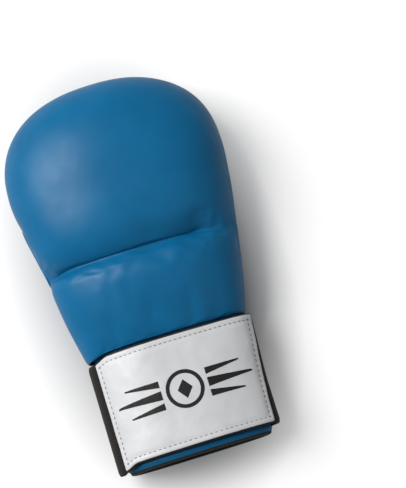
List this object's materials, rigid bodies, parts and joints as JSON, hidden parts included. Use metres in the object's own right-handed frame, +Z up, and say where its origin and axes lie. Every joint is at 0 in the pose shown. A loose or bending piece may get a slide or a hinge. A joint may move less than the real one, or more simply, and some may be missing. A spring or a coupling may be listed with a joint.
{
  "type": "martial arts mitt",
  "caption": "Padded blue martial arts mitt with a sewn knuckle fold, palm finger openings, elastic wrist band and a white-faced hook-and-loop strap.",
  "frame": {"origin": "under the middle of the mitt, on the surface that it lies on, palm down", "axes": "+Y from the wrist to the knuckles, +X to the little finger side, +Z up out of the back of the hand"},
  "size_m": [0.152, 0.265, 0.075],
  "materials": {
    "blue_vinyl": "satin smooth vinyl with a fine grain",
    "dark_blue_vinyl": "satin vinyl, darker palm panel",
    "black_fabric": "matt knitted polyester",
    "black_elastic": "ribbed woven elastic",
    "white_vinyl": "satin vinyl with grey stitching",
    "hook_and_loop_tape": "hook and loop pile",
    "foam": "closed-cell foam",
    "lining_cloth": "brushed knit lining"
  },
  "bodies": {
    "hand": {"cuff_binding": "black_fabric", "cuff_shell": "blue_vinyl", "cuff_padding": "foam", "hand_cover": "blue_vinyl", "hand_foam": "foam", "hand_lining": "lining_cloth", "cuff_lining": "lining_cloth", "lower_palm_panel": "dark_blue_vinyl", "lower_palm_foam": "foam", "palm_band_cover": "blue_vinyl", "palm_band_foam": "foam", "side_gusset_left": "blue_vinyl", "side_gusset_right": "blue_vinyl", "wrist_elastic": "black_elastic", "loop_patch": "hook_and_loop_tape"},
    "fist": {"fist_cover": "blue_vinyl", "fist_foam": "foam", "fist_lining": "lining_cloth", "palm_tab_left": "blue_vinyl", "palm_tab_right": "blue_vinyl", "tab_piping_left": "blue_vinyl", "tab_piping_right": "blue_vinyl", "palm_mesh_panel": "black_fabric", "finger_band": "black_fabric", "corner_gusset_left": "black_fabric", "corner_gusset_right": "black_fabric", "finger_divider_1": "black_fabric", "finger_divider_2": "black_fabric", "finger_divider_3": "black_fabric"},
    "strap": {"strap_elastic": "black_elastic", "strap_label": "white_vinyl", "hook_patch": "hook_and_loop_tape"}
  },
  "joints": [
    {"name": "knuckle_fold", "type": "hinge", "parent": "hand", "child": "fist", "pos_m": [0, 0.0165, 0.05], "axis": [-1, 0, 0], "range_deg": [0, 15], "stiffness_Nm_per_rad": 2, "deforming": ["palm_band_cover", "palm_band_foam", "side_gusset_left", "side_gusset_right"]},
    {"name": "strap_flap", "type": "hinge", "parent": "hand", "child": "strap", "pos_m": [-0.0575, -0.0871, 0.02385], "axis": [0, -1, 0], "range_deg": [0, 165]}
  ]
}
